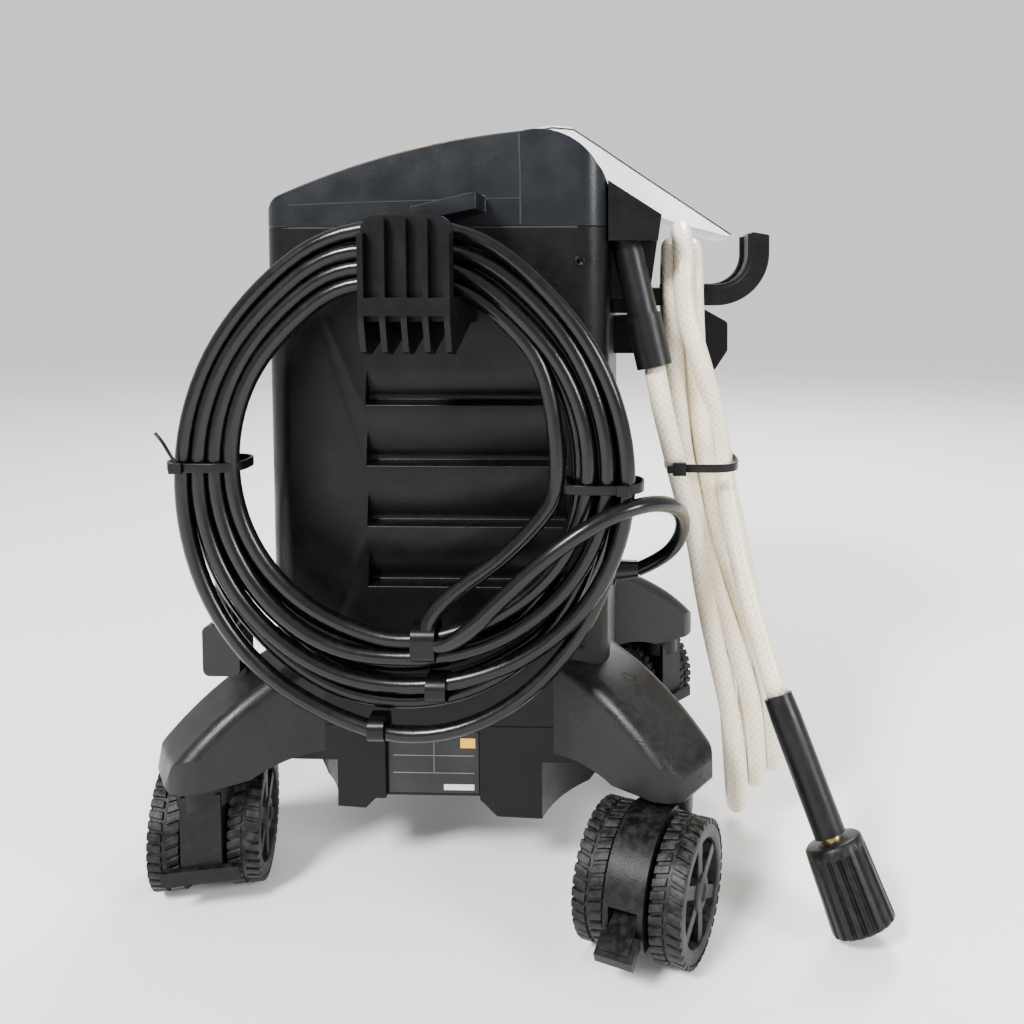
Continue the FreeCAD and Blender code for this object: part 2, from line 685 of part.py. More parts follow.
def outlet_tube():
    """The pressure tube up the inside of the body to the hose's sleeve."""
    route = [(tube_x, tube_y, 96), (tube_x, tube_y, 360), (tube_x + 2, tube_y, 384), (tube_x + 10, tube_y, 396)]
    points = [V(*p) for p in route]
    solid = rod(points[0], points[1], 6.0)
    for a, b in zip(points[1:], points[2:]):
        solid = solid.fuse(Part.makeSphere(6.0, a)).fuse(rod(a, b, 6.0))
    return solid


def water_inlet():
    """The garden-hose connector low on the front."""
    tail = rod(V(inlet_x, 70, inlet_z), V(inlet_x, half_y - 1, inlet_z), inlet_r - 2)
    body = rod(V(inlet_x, half_y - 5, inlet_z), V(inlet_x, half_y, inlet_z), inlet_r)
    flange = rod(V(inlet_x, half_y, inlet_z), V(inlet_x, half_y + 4, inlet_z), 17.0)
    spigot = rod(V(inlet_x, half_y + 4, inlet_z), V(inlet_x, half_y + 22, inlet_z), 13.2)
    bore = rod(V(inlet_x, half_y - 6, inlet_z), V(inlet_x, half_y + 30, inlet_z), 8.0)
    return tail.fuse(body).fuse(flange).fuse(spigot).cut(bore)


def switch_box():
    body = box(-24, 24, half_y - 36, half_y - 14, knob_z - 20, knob_z + 20)
    return body.cut(rod(V(0, half_y - 26, knob_z), V(0, half_y, knob_z), knob_stem_r + fit))


def switch_knob():
    """The rotary mains switch on the front."""
    face = half_y + 0.6
    skirt = rod(V(0, face, knob_z), V(0, face + 9, knob_z), 21.0)
    skirt = skirt.makeFillet(2, [e for e in skirt.Edges if e.CenterOfMass.y > face + 8])
    grip = box(-5, 5, face + 8, face + 22, knob_z - 18, knob_z + 18)
    grip = grip.makeFillet(3, long_edges(grip, V(0, 1, 0)))
    stem = rod(V(0, half_y - 25, knob_z), V(0, face + 1, knob_z), knob_stem_r)
    return skirt.fuse(grip).fuse(stem)


# ---------------------------------------------------------------- all the pieces

def build():
    keep("rear_housing", rear_housing())
    keep("front_housing", front_housing())
    keep("base_pan", base_pan())
    keep("top_cover", top_cover())
    keep("top_panel", top_panel())
    keep("side_bracket", side_bracket())
    keep("cord_hook", cord_hook())
    keep("gun_hook", gun_hook())
    keep("lower_bracket", lower_bracket())
    for name in CASTERS:
        keep("leg_" + name, leg(name))
        keep("caster_housing_" + name, place(caster_housing(), name))
        keep("caster_stem_" + name, place(caster_stem(), name))
        keep("caster_axle_" + name, place(caster_axle(), name))
        keep("wheel_a_" + name, place(caster_wheel(-1), name))
        keep("wheel_b_" + name, place(caster_wheel(1), name))
        if name.startswith("rear"):
            keep("brake_pedal_" + name, place(brake_pedal(), name))
    keep("cord_gland", cord_gland())
    keep("power_lead", route_tube("power_lead", LEAD_ROUTE, cord_r))
    keep("cord_coil", cord_coil().cut(cord_hook()).cut(top_cover()))
    keep("plug_lead", route_tube("plug_lead", PLUG_ROUTE, cord_r))
    keep("cable_ties", cable_ties())
    keep("power_plug", power_plug())
    keep("outlet_sleeve", outlet_sleeve())
    keep("hose_lead", route_tube("hose_lead", HOSE_LEAD, hose_r))
    keep("hose_hank", hose_hank())
    keep("hose_tail", route_tube("hose_tail", HOSE_TAIL, hose_r))
    keep("hose_boot", hose_boot())
    keep("hose_stem", hose_stem())
    keep("hose_swivel_nut", hose_swivel_nut())
    keep("motor", motor())
    keep("motor_bearings", motor_bearings())
    keep("motor_shaft", motor_shaft())
    keep("cooling_fan", cooling_fan())
    keep("swash_plate", swash_plate())
    keep("pump_body", pump_body())
    keep("pump_pistons", pump_pistons())
    keep("manifold_head", manifold_head())
    keep("outlet_tube", outlet_tube())
    keep("water_inlet", water_inlet())
    keep("switch_box", switch_box())
    keep("switch_knob", switch_knob())


build()
print(len(ALL_PARTS), "nodes")
for node, shape in ALL_PARTS.items():
    if not shape.isValid() or shape.Volume <= 0:
        print("invalid:", node)
    shape.translate(-ORIGIN)
    shape.exportStep("parts/" + node + ".step")
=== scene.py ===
import json
import math
import random

import bmesh
import bpy
from mathutils import Matrix, Vector


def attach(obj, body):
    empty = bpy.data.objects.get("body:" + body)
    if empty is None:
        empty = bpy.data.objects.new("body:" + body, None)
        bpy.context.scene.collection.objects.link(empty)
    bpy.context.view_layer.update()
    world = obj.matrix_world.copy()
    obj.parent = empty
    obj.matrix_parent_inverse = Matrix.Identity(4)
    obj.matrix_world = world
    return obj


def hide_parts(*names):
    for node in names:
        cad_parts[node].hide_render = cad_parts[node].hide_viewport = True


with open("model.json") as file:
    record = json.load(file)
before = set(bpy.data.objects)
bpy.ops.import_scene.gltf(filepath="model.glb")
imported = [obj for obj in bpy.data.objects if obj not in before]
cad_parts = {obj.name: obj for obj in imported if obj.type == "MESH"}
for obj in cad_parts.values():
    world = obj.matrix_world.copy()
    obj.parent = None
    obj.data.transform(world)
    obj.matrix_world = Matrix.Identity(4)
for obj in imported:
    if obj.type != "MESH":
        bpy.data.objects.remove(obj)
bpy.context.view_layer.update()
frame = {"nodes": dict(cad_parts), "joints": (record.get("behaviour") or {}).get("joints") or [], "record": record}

# Points are written in the machine's millimetres, as part.py writes them, and moved to the frame by ORIGIN.
MM = 0.001
ORIGIN = Vector((11.77, -5.28, 0.0))
NODES = frame["nodes"]
WHEEL_WIDTH, WHEEL_RADIUS = 19.0, 36.0
TREAD_DEPTH, TREAD_BLOCKS, TREAD_FILL, SPOKES = 1.4, 38, 0.76, 6
THREAD_PITCH = 0.0058
GLAND_END = (117, -60, 182)
EYE, LENS = (118.8, -634.7, 362.7), 33.03


def at(x, y, z):
    return (Vector((x, y, z)) - ORIGIN) * MM


# ------------------------------------------------------------------ camera

def make_camera():
    """The view from behind the machine, a little to its right and from hook height."""
    yaw, pitch, roll = math.radians(2.0), math.radians(3.0), math.radians(-0.18)
    forward = Vector((-math.sin(yaw) * math.cos(pitch), math.cos(yaw) * math.cos(pitch), -math.sin(pitch)))
    level = Vector((math.cos(yaw), math.sin(yaw), 0.0))
    upward = level.cross(forward)
    right = level * math.cos(roll) + upward * math.sin(roll)
    up = upward * math.cos(roll) - level * math.sin(roll)
    data = bpy.data.cameras.new("camera")
    data.sensor_width = 36.0
    data.lens = LENS
    data.shift_x, data.shift_y = -0.0938, -0.1809
    camera = bpy.data.objects.new("camera", data)
    camera.matrix_world = Matrix.Translation(at(*EYE)) @ Matrix((right, up, -forward)).transposed().to_4x4()
    bpy.context.scene.collection.objects.link(camera)
    bpy.context.scene.camera = camera


# ------------------------------------------------------------------ materials

def _noise(tree, coords, scale, detail=3.0, output="Object"):
    node = tree.nodes.new("ShaderNodeTexNoise")
    node.inputs["Scale"].default_value = scale
    node.inputs["Detail"].default_value = detail
    tree.links.new(coords.outputs[output], node.inputs["Vector"])
    return node.outputs["Fac"]


def _range(tree, value, low, high, to_low, to_high):
    node = tree.nodes.new("ShaderNodeMapRange")
    for name, number in (("From Min", low), ("From Max", high), ("To Min", to_low), ("To Max", to_high)):
        node.inputs[name].default_value = number
    tree.links.new(value, node.inputs["Value"])
    return node.outputs["Result"]


def _maths(tree, operation, a, b):
    node = tree.nodes.new("ShaderNodeMath")
    node.operation = operation
    for socket, value in zip(node.inputs, (a, b)):
        if isinstance(value, float):
            socket.default_value = value
        else:
            tree.links.new(value, socket)
    return node.outputs[0]


def _mix(tree, factor, a, b):
    node = tree.nodes.new("ShaderNodeMix")
    node.data_type = "RGBA"
    tree.links.new(factor, node.inputs["Factor"])
    for socket, value in ((node.inputs["A"], a), (node.inputs["B"], b)):
        if isinstance(value, tuple):
            socket.default_value = (*value, 1.0)
        else:
            tree.links.new(value, socket)
    return node.outputs["Result"]


def _bump(tree, shader, height, strength, distance):
    node = tree.nodes.new("ShaderNodeBump")
    node.inputs["Strength"].default_value = strength
    node.inputs["Distance"].default_value = distance
    tree.links.new(height, node.inputs["Height"])
    tree.links.new(node.outputs["Normal"], shader.inputs["Normal"])


def _material(name):
    material = bpy.data.materials.new(name)
    material.use_nodes = True
    tree = material.node_tree
    return material, tree, tree.nodes["Principled BSDF"], tree.nodes.new("ShaderNodeTexCoord")


def moulded(name, colour, rough, grain=1500.0, bump=0.25, specular=0.5, dust=0.0, coat=0.0,
            dust_colour=(0.22, 0.21, 0.19)):
    """Moulded plastic or rubber: cloudy tone, uneven gloss, fine grain, and dust where it faces up."""
    material, tree, shader, coords = _material(name)
    cloud = _noise(tree, coords, 16.0, 5.0)
    dark = tuple(c * 0.78 for c in colour)
    light = tuple(min(1.0, c * 1.22) for c in colour)
    tone = _mix(tree, _range(tree, cloud, 0.3, 0.7, 0.0, 1.0), dark, light)
    if dust > 0.0:
        geometry = tree.nodes.new("ShaderNodeNewGeometry")
        split = tree.nodes.new("ShaderNodeSeparateXYZ")
        tree.links.new(geometry.outputs["Normal"], split.inputs[0])
        upward = _range(tree, split.outputs["Z"], 0.0, 1.0, 0.25, 1.0)
        speckle = _range(tree, _noise(tree, coords, 240.0, 8.0), 0.42, 0.72, 0.0, 1.0)
        amount = _maths(tree, "MULTIPLY", _maths(tree, "MULTIPLY", upward, speckle), dust)
        tone = _mix(tree, amount, tone, dust_colour)
    tree.links.new(tone, shader.inputs["Base Color"])
    wear = _noise(tree, coords, 60.0, 6.0)
    tree.links.new(_range(tree, wear, 0.3, 0.7, rough - 0.07, rough + 0.09), shader.inputs["Roughness"])
    shader.inputs["Specular IOR Level"].default_value = specular
    shader.inputs["Coat Weight"].default_value = coat
    shader.inputs["Coat Roughness"].default_value = 0.12
    _bump(tree, shader, _noise(tree, coords, grain, 2.0), bump, 0.0003)
    return material


def metal(name, colour, rough):
    """Plated or turned metal with fine brushed streaks."""
    material, tree, shader, coords = _material(name)
    streak = _noise(tree, coords, 300.0, 6.0)
    dark = tuple(c * 0.8 for c in colour)
    tone = _mix(tree, _range(tree, streak, 0.3, 0.7, 0.0, 1.0), dark, colour)
    tree.links.new(tone, shader.inputs["Base Color"])
    tree.links.new(_range(tree, streak, 0.3, 0.7, rough - 0.08, rough + 0.1), shader.inputs["Roughness"])
    shader.inputs["Metallic"].default_value = 1.0
    _bump(tree, shader, streak, 0.15, 0.0002)
    return material


def braided(name, length, turns):
    """Clear-coated textile braid in a cream hose: two crossing sets of threads laid along the tube."""
    material, tree, shader, coords = _material(name)
    split = tree.nodes.new("ShaderNodeSeparateXYZ")
    tree.links.new(coords.outputs["UV"], split.inputs[0])
    along = _maths(tree, "MULTIPLY", split.outputs["X"], length * 2.0 * math.pi / THREAD_PITCH)
    around = _maths(tree, "MULTIPLY", split.outputs["Y"], turns * 2.0 * math.pi)
    one = _maths(tree, "SINE", _maths(tree, "ADD", along, around), 0.0)
    two = _maths(tree, "SINE", _maths(tree, "SUBTRACT", along, around), 0.0)
    threads = _range(tree, _maths(tree, "MAXIMUM", one, two), -0.4, 1.0, 0.0, 1.0)
    base = _mix(tree, threads, (0.70, 0.61, 0.44), (0.83, 0.76, 0.60))
    stain = _range(tree, _noise(tree, coords, 22.0, 5.0), 0.5, 0.75, 0.0, 0.45)
    base = _mix(tree, stain, base, (0.55, 0.44, 0.27))
    tree.links.new(base, shader.inputs["Base Color"])
    tree.links.new(_range(tree, _noise(tree, coords, 90.0), 0.3, 0.7, 0.24, 0.42), shader.inputs["Roughness"])
    shader.inputs["Coat Weight"].default_value = 0.35
    shader.inputs["Coat Roughness"].default_value = 0.2
    shader.inputs["Subsurface Weight"].default_value = 0.15
    shader.inputs["Subsurface Radius"].default_value = (0.004, 0.003, 0.002)
    _bump(tree, shader, threads, 0.45, 0.0004)
    return material


def floor_finish():
    material, tree, shader, coords = _material("floor_finish")
    cloud = _range(tree, _noise(tree, coords, 3.0, 4.0), 0.3, 0.7, 0.0, 1.0)
    tree.links.new(_mix(tree, cloud, (0.90, 0.90, 0.89), (0.94, 0.94, 0.93)), shader.inputs["Base Color"])
    shader.inputs["Roughness"].default_value = 0.75
    return material


LOOK = {
    "body_plastic": moulded("body_finish", (0.0020, 0.0021, 0.0026), 0.33, dust=0.02, bump=0.35,
                            specular=0.17),
    "head_plastic": moulded("head_finish", (0.0040, 0.0050, 0.0068), 0.31, bump=0.3, specular=0.26),
    "pale_panel": moulded("panel_finish", (0.84, 0.85, 0.84), 0.2, grain=900.0, bump=0.05, coat=0.5),
    "leg_plastic": moulded("leg_finish", (0.0040, 0.0043, 0.0054), 0.33, dust=0.04, bump=0.5, specular=0.26),
    "hook_plastic": moulded("hook_finish", (0.0018, 0.0018, 0.0022), 0.34, dust=0.02, bump=0.3,
                            specular=0.17),
    "caster_plastic": moulded("caster_finish", (0.0024, 0.0024, 0.0028), 0.38, dust=0.08, bump=0.4,
                              specular=0.2),
    "wheel_rubber": moulded("wheel_finish", (0.0030, 0.0030, 0.0032), 0.45, dust=0.2, bump=0.5, grain=900.0,
                            specular=0.22),
    "cord_rubber": moulded("cord_finish", (0.0016, 0.0016, 0.0020), 0.22, grain=700.0, bump=0.12, dust=0.015,
                           specular=0.3),
    "sleeve_rubber": moulded("sleeve_finish", (0.0030, 0.0031, 0.0038), 0.36, dust=0.03, specular=0.24),
    "tie_nylon": moulded("tie_finish", (0.0016, 0.0016, 0.0019), 0.3, bump=0.1, specular=0.22),
    "nut_plastic": moulded("nut_finish", (0.0026, 0.0026, 0.0030), 0.38, dust=0.07, specular=0.22),
    "accent_plastic": moulded("accent_finish", (0.72, 0.38, 0.03), 0.3, bump=0.1),
    "plated_steel": metal("plated_finish", (0.62, 0.62, 0.64), 0.28),
    "motor_steel": metal("motor_finish", (0.30, 0.30, 0.31), 0.45),
    "brass_fitting": metal("brass_finish", (0.72, 0.52, 0.22), 0.3),
    "pump_aluminium": metal("pump_finish", (0.66, 0.67, 0.68), 0.4),
}
HOSE_LOOK = braided("hose_finish", 3.0, 9.0)
LOOK["hose_pvc"] = HOSE_LOOK
GROOVE_LOOK = moulded("groove_finish", (0.003, 0.003, 0.0035), 0.7)
PLATE_LOOK = moulded("plate_finish", (0.016, 0.016, 0.018), 0.4, bump=0.1, specular=0.25)
LINE_LOOK = moulded("line_finish", (0.16, 0.16, 0.16), 0.5, bump=0.1)
PAPER_LOOK = moulded("strip_finish", (0.62, 0.62, 0.60), 0.5, bump=0.1)


# ------------------------------------------------------------------ building helpers

def add(name, mesh, slot_name, body="body", look=None, replaces=()):
    piece = bpy.data.objects.new(name, mesh)
    bpy.context.scene.collection.objects.link(piece)
    mesh.materials.append(look or LOOK[slot_name])
    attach(piece, body)
    if replaces:
        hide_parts(*replaces)
    return piece


def soften(piece, width, segments=2, angle=38.0):
    """Small rounded edges, as a mould leaves them."""
    weld = piece.modifiers.new("weld", "WELD")
    weld.merge_threshold = 0.00002
    bevel = piece.modifiers.new("bevel", "BEVEL")
    bevel.width = width * MM
    bevel.segments = segments
    bevel.limit_method = "ANGLE"
    bevel.angle_limit = math.radians(angle)
    bevel.use_clamp_overlap = True
    normals = piece.modifiers.new("normals", "WEIGHTED_NORMAL")
    normals.weight = 60
    return piece


def smooth(mesh):
    for face in mesh.polygons:
        face.use_smooth = True
    return mesh


def to_mesh(name, form):
    bmesh.ops.recalc_face_normals(form, faces=form.faces)
    mesh = bpy.data.meshes.new(name)
    form.to_mesh(mesh)
    form.free()
    return mesh


def block(form, low, high, turn=None):
    """A box between two corners, turned and moved by a matrix."""
    corners = [Vector((x, y, z)) for z in (low[2], high[2]) for y in (low[1], high[1])
               for x in (low[0], high[0])]
    if turn is not None:
        corners = [turn @ c for c in corners]
    verts = [form.verts.new(c) for c in corners]
    for ring in ((0, 2, 3, 1), (4, 5, 7, 6), (0, 1, 5, 4), (1, 3, 7, 5), (3, 2, 6, 7), (2, 0, 4, 6)):
        form.faces.new([verts[i] for i in ring])


def spin(form, profile, turn, steps=72):
    """A solid turned round the X axis from (x, r) points that start and end on the axis."""
    rings = []
    for x, r in profile:
        if r < 1e-9:
            rings.append([form.verts.new(turn @ Vector((x, 0.0, 0.0)))])
            continue
        rings.append([form.verts.new(turn @ Vector((x, r * math.cos(a), r * math.sin(a))))
                      for a in (2.0 * math.pi * i / steps for i in range(steps))])
    for first, second in zip(rings, rings[1:]):
        for i in range(steps):
            j = (i + 1) % steps
            a, b = first[i % len(first)], first[j % len(first)]
            c, d = second[j % len(second)], second[i % len(second)]
            corners = [v for n, v in enumerate((a, b, c, d)) if v not in (a, b, c, d)[:n]]
            if len(corners) > 2:
                form.faces.new(corners)


def nurbs(name, points, radius=0.0, resolution=5):
    """One smooth spline with the route's points as its control points."""
    data = bpy.data.curves.new(name, "CURVE")
    data.dimensions = "3D"
    spline = data.splines.new("NURBS")
    spline.points.add(len(points) - 1)
    for point, place in zip(spline.points, points):
        point.co = (*place, 1.0)
    spline.order_u = 3
    spline.use_endpoint_u = True
    spline.resolution_u = resolution
    data.bevel_depth = radius
    data.bevel_resolution = 5
    data.use_fill_caps = True
    piece = bpy.data.objects.new(name, data)
    bpy.context.scene.collection.objects.link(piece)
    return piece


def line_points(name, points, resolution):
    """Points read along the route's own spline."""
    curve = nurbs(name + "_line", points, 0.0, resolution)
    bpy.context.view_layer.update()
    mesh = bpy.data.meshes.new_from_object(curve)
    found = [v.co.copy() for v in mesh.vertices]
    bpy.data.meshes.remove(mesh)
    bpy.data.objects.remove(curve)
    kept = found[:1]
    for place in found[1:]:
        if (place - kept[-1]).length > 0.0004:
            kept.append(place)
    return kept


def tube(name, path, radius, sides=20):
    """A closed tube along a path, with UV x running from 0 to 1 along it and y round it."""
    form = bmesh.new()
    layer = form.loops.layers.uv.new("UVMap")
    lengths = [0.0]
    for a, b in zip(path, path[1:]):
        lengths.append(lengths[-1] + (b - a).length)
    radius_at = radius if callable(radius) else (lambda t: radius)
    tangent = (path[1] - path[0]).normalized()
    side = tangent.orthogonal().normalized()
    rings = []
    for i, place in enumerate(path):
        ahead = path[min(i + 1, len(path) - 1)] - path[max(i - 1, 0)]
        side = (side - ahead.normalized() * side.dot(ahead.normalized())).normalized()
        other = ahead.normalized().cross(side)
        r = radius_at(lengths[i] / lengths[-1])
        rings.append([form.verts.new(place + (side * math.cos(a) + other * math.sin(a)) * r)
                      for a in (2.0 * math.pi * k / sides for k in range(sides))])
    for i in range(len(rings) - 1):
        u0, u1 = lengths[i] / lengths[-1], lengths[i + 1] / lengths[-1]
        for k in range(sides):
            n = (k + 1) % sides
            face = form.faces.new((rings[i][k], rings[i][n], rings[i + 1][n], rings[i + 1][k]))
            for loop, uv in zip(face.loops, ((u0, k / sides), (u0, (k + 1) / sides),
                                             (u1, (k + 1) / sides), (u1, k / sides))):
                loop[layer].uv = uv
    form.faces.new(rings[0])
    form.faces.new(rings[-1])
    return smooth(to_mesh(name, form))


def strap(form, centre, half_a, half_b, width, thick, axis, power=3.0, steps=48):
    """A flat band round a bundle. The loop is a rounded oblong in the plane across the axis."""
    across = {"z": (Vector((1, 0, 0)), Vector((0, 1, 0)), Vector((0, 0, 1))),
              "x": (Vector((0, 1, 0)), Vector((0, 0, 1)), Vector((1, 0, 0)))}[axis]
    rings = []
    for i in range(steps):
        a = 2.0 * math.pi * i / steps
        ca, sa = math.cos(a), math.sin(a)
        fit = (abs(ca) ** power + abs(sa) ** power) ** (-1.0 / power)
        ring = []
        for grow, lift in ((0.0, -0.5), (thick, -0.5), (thick, 0.5), (0.0, 0.5)):
            place = centre + across[0] * ((half_a + grow) * ca * fit)
            place += across[1] * ((half_b + grow) * sa * fit)
            ring.append(form.verts.new((place + across[2] * (width * lift) - ORIGIN) * MM))
        rings.append(ring)
    for i in range(steps):
        first, second = rings[i], rings[(i + 1) % steps]
        for k in range(4):
            form.faces.new((first[k], first[(k + 1) % 4], second[(k + 1) % 4], second[k]))


# ------------------------------------------------------------------ power cord

CORD_RADIUS = 4.4
COIL_CENTRE, COIL_HALF = (-7.4, 252.0), (127.0, 142.0)
HOLE_CENTRE, HOLE_HALF = (-9.9, 264.0), (87.0, 91.0)
LEAD_ROUTE = [GLAND_END, (133, -64, 190), (143, -80, 208), (143, -102, 226), (136, -126, 239),
              (120, -146, 244), (98, -157, 238), (72, -161, 221), (48, -160, 198), (30, -157, 179),
              (14, -149, 167)]
TURN_BACK = [(4, -147, 169), (5, -145, 181), (20, -144, 196), (44, -143, 212), (64, -143, 232),
             (76.5, -143, 250)]
PLUG_ROUTE = [(-116, -120, 246), (-119, -107, 228), (-125, -99, 207), (-127, -97, 184)]
# For each turn: depth, and how far out it lies across the band at the ties and at the top.
TURNS = [(-143.2, 0.03, 0.03), (-143.2, 0.34, 0.34), (-143.2, 0.65, 0.63), (-143.2, 0.96, 0.97),
         (-134.6, 0.84, 0.82), (-134.4, 0.5, 0.48), (-134.6, 0.17, 0.17), (-126.0, 0.34, 0.36),
         (-126.0, 0.68, 0.66)]
# For each passing of the foot: depth, and how far out it lies there.
FOOT = [(-143.0, 0.02), (-143.4, 0.19), (-143.2, 0.53), (-141.0, 0.99), (-135.0, 0.74), (-134.6, 0.36),
        (-134.0, 0.10), (-127.0, 0.60)]
POINTS_PER_TURN = 18
HOOK_REST, LAYER_STEP = 358.6, 8.8 * 3.2


def band_place(angle, out):
    """Where a strand lies in the coil's band, at an angle from the foot and a share of the way out."""
    s, c = math.sin(angle), math.cos(angle)
    inner = Vector((HOLE_CENTRE[0] + HOLE_HALF[0] * s, HOLE_CENTRE[1] - HOLE_HALF[1] * c))
    outer = Vector((COIL_CENTRE[0] + COIL_HALF[0] * s, COIL_CENTRE[1] - COIL_HALF[1] * c))
    across = outer - inner
    return inner + across.normalized() * (CORD_RADIUS + (across.length - 2.0 * CORD_RADIUS) * out)


def ease(t):
    t = min(1.0, max(0.0, t))
    return t * t * (3.0 - 2.0 * t)


def coil_route():
    """The coil's turns, seen from behind: up the right, over the hook and down the left."""
    draw = random.Random(11)
    drift = [(draw.uniform(0.0, 6.28), draw.uniform(1.2, 2.8)) for _ in TURNS]
    points = []
    first, last = 0.30 * POINTS_PER_TURN, (len(TURNS) - 1 + 0.73) * POINTS_PER_TURN
    for step in range(math.ceil(first), int(last) + 1):
        turns = step / POINTS_PER_TURN
        angle = 2.0 * math.pi * turns
        near = int(round(turns))
        passing = min(max(near - 1, 0), len(FOOT) - 1)
        index = min(int(turns), len(TURNS) - 1)
        foot_share = max(0.0, math.cos(angle)) ** 1.5
        top_share = max(0.0, -math.cos(angle)) ** 1.5
        if turns - index > 0.5:
            change = ease((turns - index - 0.80) / 0.4)
            a, b = TURNS[index], TURNS[min(index + 1, len(TURNS) - 1)]
        else:
            change = ease((turns - index + 0.20) / 0.4)
            a, b = TURNS[max(index - 1, 0)], TURNS[index]
        tie = a[1] + (b[1] - a[1]) * change
        depth = a[0] + (b[0] - a[0]) * change
        top = TURNS[index][2]
        out = tie * (1.0 - foot_share - top_share) + FOOT[passing][1] * foot_share + top * top_share
        depth += (FOOT[passing][0] - depth) * foot_share
        phase, size = drift[index]
        sway = size * math.sin(2.0 * angle + phase) * math.cos(angle) ** 2
        place = band_place(angle, out)
        x, z = place.x + 0.6 * sway, place.y + sway
        if math.cos(angle) < -0.85:
            z = max(z, HOOK_REST + LAYER_STEP * top)
        points.append((x, depth + 0.5 * sway, z))
    return points


def power_cord():
    """The whole cord in one spline, from the gland to the plug."""
    route = LEAD_ROUTE + TURN_BACK + coil_route() + PLUG_ROUTE
    cord = nurbs("power_cord", [at(*p) for p in route], CORD_RADIUS * MM, 5)
    cord.data.materials.append(LOOK["cord_rubber"])
    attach(cord, "body")
    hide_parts("power_lead", "cord_coil", "plug_lead")


def coil_ties():
    """Two nylon ties at the coil's sides, and tape round the strands at its foot."""
    form = bmesh.new()
    strap(form, Vector((-115.6, -134.6, 262.5)), 20.0, 14.4, 5.0, 1.4, "z")
    strap(form, Vector((97.6, -134.6, 251.5)), 21.6, 14.4, 5.0, 1.4, "z")
    block(form, at(-131, -151.8, 259.6), at(-124, -149.0, 265.4))
    block(form, at(106, -151.8, 248.6), at(113, -149.0, 254.4))
    ties = add("coil_ties", to_mesh("coil_ties", form), "tie_nylon", replaces=["cable_ties"])
    soften(ties, 0.4)
    form = bmesh.new()
    strap(form, Vector((3.0, -141.5, 167.6)), 10.4, 9.6, 13.0, 0.5, "x")
    strap(form, Vector((9.0, -140.0, 142.0)), 9.6, 7.0, 11.0, 0.5, "x", 2.4)
    strap(form, Vector((-24.0, -139.0, 119.0)), 9.0, 6.4, 9.0, 0.5, "x", 2.4)
    tape = add("coil_tape", to_mesh("coil_tape", form), "tie_nylon", replaces=["cable_ties"])
    soften(tape, 0.3)
    tail = tube("tie_tail", line_points("tie_tail", [at(*p) for p in (
        (-127, -149.5, 264), (-130, -151, 270), (-134, -150.5, 277), (-138.5, -149, 281))], 6), 0.0009, 8)
    add("tie_tail", tail, "tie_nylon")


# ------------------------------------------------------------------ hose

HOSE_RADIUS = 6.4
HOSE_LEAD = [(127, -79, 310), (131, -78, 287), (136, -72, 266), (141, -64, 245), (146.5, -58, 223),
             (153, -50, 202)]
HOSE_TAIL = [(168, -42, 268), (171, -48, 240), (175, -58, 212), (180, -70, 184), (188, -84, 154),
             (198, -98, 120)]
BOOT_TOP, BOOT_LOW = (198, -98, 120), (224, -122, 52)
FOLD_MID, FOLD_REACH = -22.5, 23.5


def fold(x, low):
    """A bottom fold at one X: down the rear, round, and up the front."""
    rear, front, mid = FOLD_MID - FOLD_REACH, FOLD_MID + FOLD_REACH, low + FOLD_REACH
    return [(x - 4, rear - 1, mid + 44), (x, rear, mid + 8), (x + 0.5, rear + 6.5, mid - 16),
            (x + 1, FOLD_MID, low - 3), (x + 1, front - 6.5, mid - 16), (x, front, mid + 8),
            (x - 3, front - 1, mid + 44)]


def arch(x, spread, rise):
    """Over the hook's arm, from the front to the rear."""
    return [(x, 10 + spread, 326), (x, 19.5 + spread, 350), (x, 15.5 + spread, 372 + rise * 0.7),
            (x, -3, 381 + rise), (x, -20, 382.5 + rise), (x, -38, 381 + rise),
            (x, -52 - spread, 368 + rise * 0.8), (x, -55 - spread, 343)]


HOSE_ROUTE = (
    HOSE_LEAD + [(161, -49, 150)] + fold(180.6, 15.4)
    + [(158, -12, 192), (143, -33, 247), (138.6, -17, 286)] + arch(138.4, 0.0, 0.0)
    + [(139.5, -54, 300), (145, -49.5, 250), (160, -46, 185)] + fold(192.4, 33)
    + [(170, -13, 190), (156, -30, 247), (152.5, -16, 286)] + arch(151.2, 0.0, 0.0)
    + [(153.5, -53, 300), (158.5, -47.5, 250), (172, -46, 185)] + fold(203.6, 44)
    + [(184, -14, 190), (169.5, -33.5, 247), (161, -14, 286)] + arch(144.8, 10.0, 11.0)
    + [(155, -66, 312)] + HOSE_TAIL
)


def hose(nut):
    """The whole hose in one tube, from the outlet sleeve to the boot."""
    points = [at(*p) for p in HOSE_ROUTE]
    path = line_points("hose", points, 8)
    piece = add("high_pressure_hose", tube("high_pressure_hose", path, HOSE_RADIUS * MM, 24), "hose_pvc",
                replaces=["hose_lead", "hose_hank", "hose_tail"])


